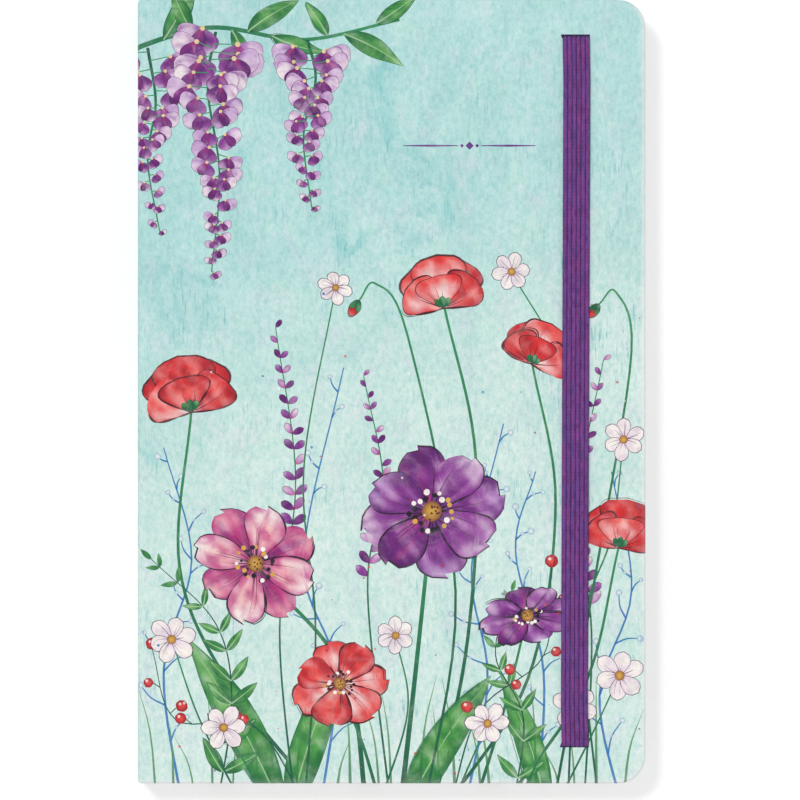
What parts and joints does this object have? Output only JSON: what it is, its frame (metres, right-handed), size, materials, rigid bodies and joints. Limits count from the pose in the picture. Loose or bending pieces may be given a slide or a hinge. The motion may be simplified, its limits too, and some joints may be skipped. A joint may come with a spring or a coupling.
{
  "type": "address book",
  "caption": "Hardcover address book with a printed paper cover, step-cut letter tabs and a ribbed elastic band on the front cover; the cover, spine and sections of leaves swing open flat.",
  "frame": {"origin": "middle of the closed book's width and height, on the outer face of the back cover", "axes": "+X from the spine towards the fore edge, +Y from tail to head, +Z from the back cover up through the front cover"},
  "size_m": [0.127, 0.196, 0.0177],
  "materials": {
    "greyboard": "matte",
    "printed_paper": "matte",
    "endpaper": "matte",
    "page_paper": "matte",
    "lining_cloth": "matte",
    "band_cloth": "matte",
    "elastic": "matte"
  },
  "bodies": {
    "back_cover": {"back_board": "greyboard", "back_wrap": "printed_paper", "back_pastedown": "endpaper", "back_flyleaf": "endpaper", "rear_joint_strip": "printed_paper", "spine_lining": "lining_cloth", "head_band": "band_cloth", "tail_band": "band_cloth"},
    "spine": {"spine_board": "greyboard", "spine_wrap": "printed_paper", "front_joint_strip": "printed_paper"},
    "front_cover": {"front_board": "greyboard", "front_wrap": "printed_paper", "front_pastedown": "endpaper", "elastic_end_head": "elastic", "elastic_end_tail": "elastic"},
    "section_a_b": {"leaves_a_b": "page_paper", "front_flyleaf": "endpaper"},
    "section_c_d": {"leaves_c_d": "page_paper"},
    "section_e_f": {"leaves_e_f": "page_paper"},
    "section_g_h": {"leaves_g_h": "page_paper"},
    "section_i_j": {"leaves_i_j": "page_paper"},
    "section_k_l": {"leaves_k_l": "page_paper"},
    "section_m_n": {"leaves_m_n": "page_paper"},
    "section_o_p": {"leaves_o_p": "page_paper"},
    "section_q_r": {"leaves_q_r": "page_paper"},
    "section_s_t": {"leaves_s_t": "page_paper"},
    "section_u_v": {"leaves_u_v": "page_paper"},
    "section_w_z": {"leaves_w_z": "page_paper"},
    "elastic_band": {"elastic_strap": "elastic"}
  },
  "joints": [
    {"name": "front_cover_open", "type": "hinge", "parent": "spine", "child": "front_cover", "pos_m": [-0.06318, 0, 0.0164], "axis": [0, -1, 0], "range_deg": [0, 89.7], "deforming": ["front_joint_strip"]},
    {"name": "spine_swing", "type": "hinge", "parent": "back_cover", "child": "spine", "pos_m": [-0.06318, 0, 0.00032], "axis": [0, -1, 0], "range_deg": [0, 89.7], "deforming": ["rear_joint_strip"]},
    {"name": "turn_a_b", "type": "hinge", "parent": "back_cover", "child": "section_a_b", "pos_m": [-0.06145, 0, 0.00836], "axis": [0, -1, 0], "range_deg": [0, 179.41], "deforming": ["spine_lining", "head_band", "tail_band"]},
    {"name": "turn_c_d", "type": "hinge", "parent": "back_cover", "child": "section_c_d", "pos_m": [-0.06145, 0, 0.00836], "axis": [0, -1, 0], "range_deg": [0, 178.31]},
    {"name": "turn_e_f", "type": "hinge", "parent": "back_cover", "child": "section_e_f", "pos_m": [-0.06145, 0, 0.00836], "axis": [0, -1, 0], "range_deg": [0, 177.01]},
    {"name": "turn_g_h", "type": "hinge", "parent": "back_cover", "child": "section_g_h", "pos_m": [-0.06145, 0, 0.00836], "axis": [0, -1, 0], "range_deg": [0, 175.51]},
    {"name": "turn_i_j", "type": "hinge", "parent": "back_cover", "child": "section_i_j", "pos_m": [-0.06145, 0, 0.00836], "axis": [0, -1, 0], "range_deg": [0, 173.81]},
    {"name": "turn_k_l", "type": "hinge", "parent": "back_cover", "child": "section_k_l", "pos_m": [-0.06145, 0, 0.00836], "axis": [0, -1, 0], "range_deg": [0, 171.91]},
    {"name": "turn_m_n", "type": "hinge", "parent": "back_cover", "child": "section_m_n", "pos_m": [-0.06145, 0, 0.00836], "axis": [0, -1, 0], "range_deg": [0, 8.11]},
    {"name": "turn_o_p", "type": "hinge", "parent": "back_cover", "child": "section_o_p", "pos_m": [-0.06145, 0, 0.00836], "axis": [0, -1, 0], "range_deg": [0, 6.21]},
    {"name": "turn_q_r", "type": "hinge", "parent": "back_cover", "child": "section_q_r", "pos_m": [-0.06145, 0, 0.00836], "axis": [0, -1, 0], "range_deg": [0, 4.51]},
    {"name": "turn_s_t", "type": "hinge", "parent": "back_cover", "child": "section_s_t", "pos_m": [-0.06145, 0, 0.00836], "axis": [0, -1, 0], "range_deg": [0, 3.01]},
    {"name": "turn_u_v", "type": "hinge", "parent": "back_cover", "child": "section_u_v", "pos_m": [-0.06145, 0, 0.00836], "axis": [0, -1, 0], "range_deg": [0, 1.71]},
    {"name": "turn_w_z", "type": "hinge", "parent": "back_cover", "child": "section_w_z", "pos_m": [-0.06145, 0, 0.00836], "axis": [0, -1, 0], "range_deg": [0, 0.61]},
    {"name": "elastic_lift", "type": "slide", "parent": "front_cover", "child": "elastic_band", "axis": [0, 0, 1], "range_m": [0, 0.025], "stiffness_N_per_m": 60, "springref_m": -0.002, "deforming": ["elastic_strap"]}
  ],
  "couplings": [
    {"joint": "spine_swing", "follows": "front_cover_open", "ratio": 1},
    {"joint": "turn_a_b", "follows": "front_cover_open", "ratio": 2},
    {"joint": "turn_c_d", "follows": "front_cover_open", "ratio": 1.9877},
    {"joint": "turn_e_f", "follows": "front_cover_open", "ratio": 1.9732},
    {"joint": "turn_g_h", "follows": "front_cover_open", "ratio": 1.9565},
    {"joint": "turn_i_j", "follows": "front_cover_open", "ratio": 1.9376},
    {"joint": "turn_k_l", "follows": "front_cover_open", "ratio": 1.9164},
    {"joint": "turn_m_n", "follows": "front_cover_open", "ratio": 0.0903},
    {"joint": "turn_o_p", "follows": "front_cover_open", "ratio": 0.06912},
    {"joint": "turn_q_r", "follows": "front_cover_open", "ratio": 0.05017},
    {"joint": "turn_s_t", "follows": "front_cover_open", "ratio": 0.03344},
    {"joint": "turn_u_v", "follows": "front_cover_open", "ratio": 0.01895},
    {"joint": "turn_w_z", "follows": "front_cover_open", "ratio": 0.00669}
  ]
}
